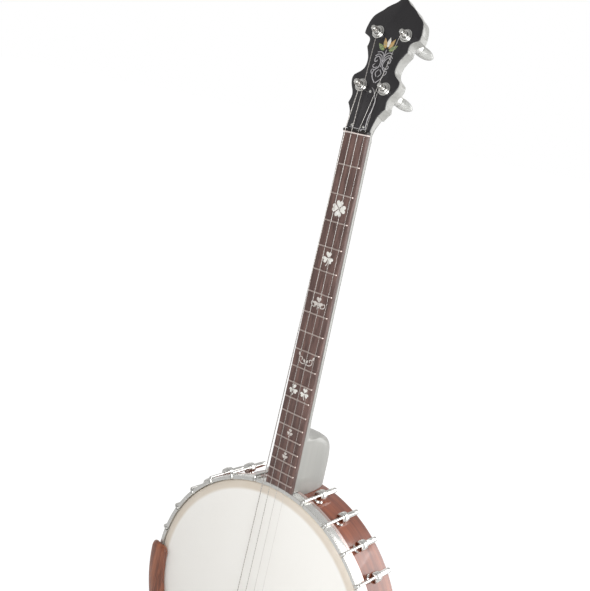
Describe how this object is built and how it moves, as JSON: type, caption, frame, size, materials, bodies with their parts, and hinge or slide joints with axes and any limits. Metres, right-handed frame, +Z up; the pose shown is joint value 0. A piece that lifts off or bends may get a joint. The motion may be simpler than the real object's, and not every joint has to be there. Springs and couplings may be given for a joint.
{
  "type": "tenor banjo",
  "caption": "Four-string open-back tenor banjo with bracket-tensioned head, geared tuners, hinged tailpiece cover and wooden armrest.",
  "frame": {"origin": "middle of the nut's front edge at the fingerboard surface, where a wall hanger's fork carries the neck", "axes": "+Z up the neck from the pot to the headstock, +Y from the playing side to the back, +X to the right seen from the playing side"},
  "size_m": [0.3325, 0.0886, 0.8628],
  "materials": {
    "lacquered_neck": "silver-grey gloss lacquer over maple",
    "black_veneer": "black gloss face",
    "steel": "plain turned steel",
    "brass": "turned brass",
    "bone": "polished bone",
    "rosewood": "oiled rosewood",
    "mahogany": "stained mahogany, satin lacquer",
    "coated_film": "frosted coating on clear film",
    "aluminium": "satin",
    "nickel_plate": "bright plated",
    "maple": "unfinished maple",
    "pearloid": "pearl celluloid",
    "walnut": "satin oiled",
    "string_steel": "plain and wound steel"
  },
  "bodies": {
    "banjo": {"armrest": "walnut", "bracket_01": "nickel_plate", "bracket_02": "nickel_plate", "bracket_03": "nickel_plate", "bracket_04": "nickel_plate", "bracket_05": "nickel_plate", "bracket_06": "nickel_plate", "bracket_07": "nickel_plate", "bracket_08": "nickel_plate", "bracket_09": "nickel_plate", "bracket_10": "nickel_plate", "bracket_11": "nickel_plate", "bracket_12": "nickel_plate", "bracket_13": "nickel_plate", "bracket_14": "nickel_plate", "bracket_15": "nickel_plate", "bracket_16": "nickel_plate", "bracket_17": "nickel_plate", "bracket_18": "nickel_plate", "bracket_19": "nickel_plate", "bracket_20": "nickel_plate", "bracket_21": "nickel_plate", "bracket_22": "nickel_plate", "bracket_23": "nickel_plate", "bracket_24": "nickel_plate", "bracket_25": "nickel_plate", "bracket_26": "nickel_plate", "bridge": "maple", "coordinator_rod": "steel", "fingerboard": "rosewood", "flesh_hoop": "aluminium", "head": "coated_film", "headstock_veneer": "black_veneer", "neck": "lacquered_neck", "rim": "mahogany", "string_1": "string_steel", "string_2": "string_steel", "string_3": "string_steel", "string_4": "string_steel", "string_nut": "bone", "tailpiece_base": "nickel_plate", "tailpiece_hanger": "nickel_plate", "tension_hoop": "nickel_plate", "tone_ring": "brass", "truss_rod": "steel", "truss_rod_cover": "black_veneer", "tuner_housing_1": "nickel_plate", "tuner_housing_2": "nickel_plate", "tuner_housing_3": "nickel_plate", "tuner_housing_4": "nickel_plate"},
    "post_1": {"tuner_post_1": "nickel_plate"},
    "button_1": {"tuner_button_1": "pearloid"},
    "post_2": {"tuner_post_2": "nickel_plate"},
    "button_2": {"tuner_button_2": "pearloid"},
    "post_3": {"tuner_post_3": "nickel_plate"},
    "button_3": {"tuner_button_3": "pearloid"},
    "post_4": {"tuner_post_4": "nickel_plate"},
    "button_4": {"tuner_button_4": "pearloid"},
    "tailpiece_lid": {"tailpiece_cover": "nickel_plate"},
    "truss_nut": {"truss_rod_nut": "brass"}
  },
  "joints": [
    {"name": "button_1_turn", "type": "hinge", "parent": "banjo", "child": "button_1", "pos_m": [-0.0144, 0.01329, 0.04929], "axis": [0, -0.9703, 0.2419], "continuous": true},
    {"name": "post_1_turn", "type": "hinge", "parent": "banjo", "child": "post_1", "pos_m": [-0.0144, 0.01329, 0.04929], "axis": [0, -0.9703, 0.2419], "continuous": true},
    {"name": "button_2_turn", "type": "hinge", "parent": "banjo", "child": "button_2", "pos_m": [0.0144, 0.01329, 0.04929], "axis": [0, -0.9703, 0.2419], "continuous": true},
    {"name": "post_2_turn", "type": "hinge", "parent": "banjo", "child": "post_2", "pos_m": [0.0144, 0.01329, 0.04929], "axis": [0, -0.9703, 0.2419], "continuous": true},
    {"name": "button_3_turn", "type": "hinge", "parent": "banjo", "child": "button_3", "pos_m": [-0.017, 0.02722, 0.10518], "axis": [0, -0.9703, 0.2419], "continuous": true},
    {"name": "post_3_turn", "type": "hinge", "parent": "banjo", "child": "post_3", "pos_m": [-0.017, 0.02722, 0.10518], "axis": [0, -0.9703, 0.2419], "continuous": true},
    {"name": "button_4_turn", "type": "hinge", "parent": "banjo", "child": "button_4", "pos_m": [0.017, 0.02722, 0.10518], "axis": [0, -0.9703, 0.2419], "continuous": true},
    {"name": "post_4_turn", "type": "hinge", "parent": "banjo", "child": "post_4", "pos_m": [0.017, 0.02722, 0.10518], "axis": [0, -0.9703, 0.2419], "continuous": true},
    {"name": "tailpiece_cover_hinge", "type": "hinge", "parent": "banjo", "child": "tailpiece_lid", "pos_m": [0, -0.0066, -0.69835], "axis": [1, 0, 0], "range_deg": [0, 95]},
    {"name": "truss_nut_turn", "type": "hinge", "parent": "banjo", "child": "truss_nut", "pos_m": [0, 0.009, 0.0086], "axis": [0, 0, 1], "range_deg": [-180, 180]}
  ],
  "couplings": [
    {"joint": "post_1_turn", "follows": "button_1_turn", "ratio": 0.25},
    {"joint": "post_2_turn", "follows": "button_2_turn", "ratio": 0.25},
    {"joint": "post_3_turn", "follows": "button_3_turn", "ratio": 0.25},
    {"joint": "post_4_turn", "follows": "button_4_turn", "ratio": 0.25}
  ]
}
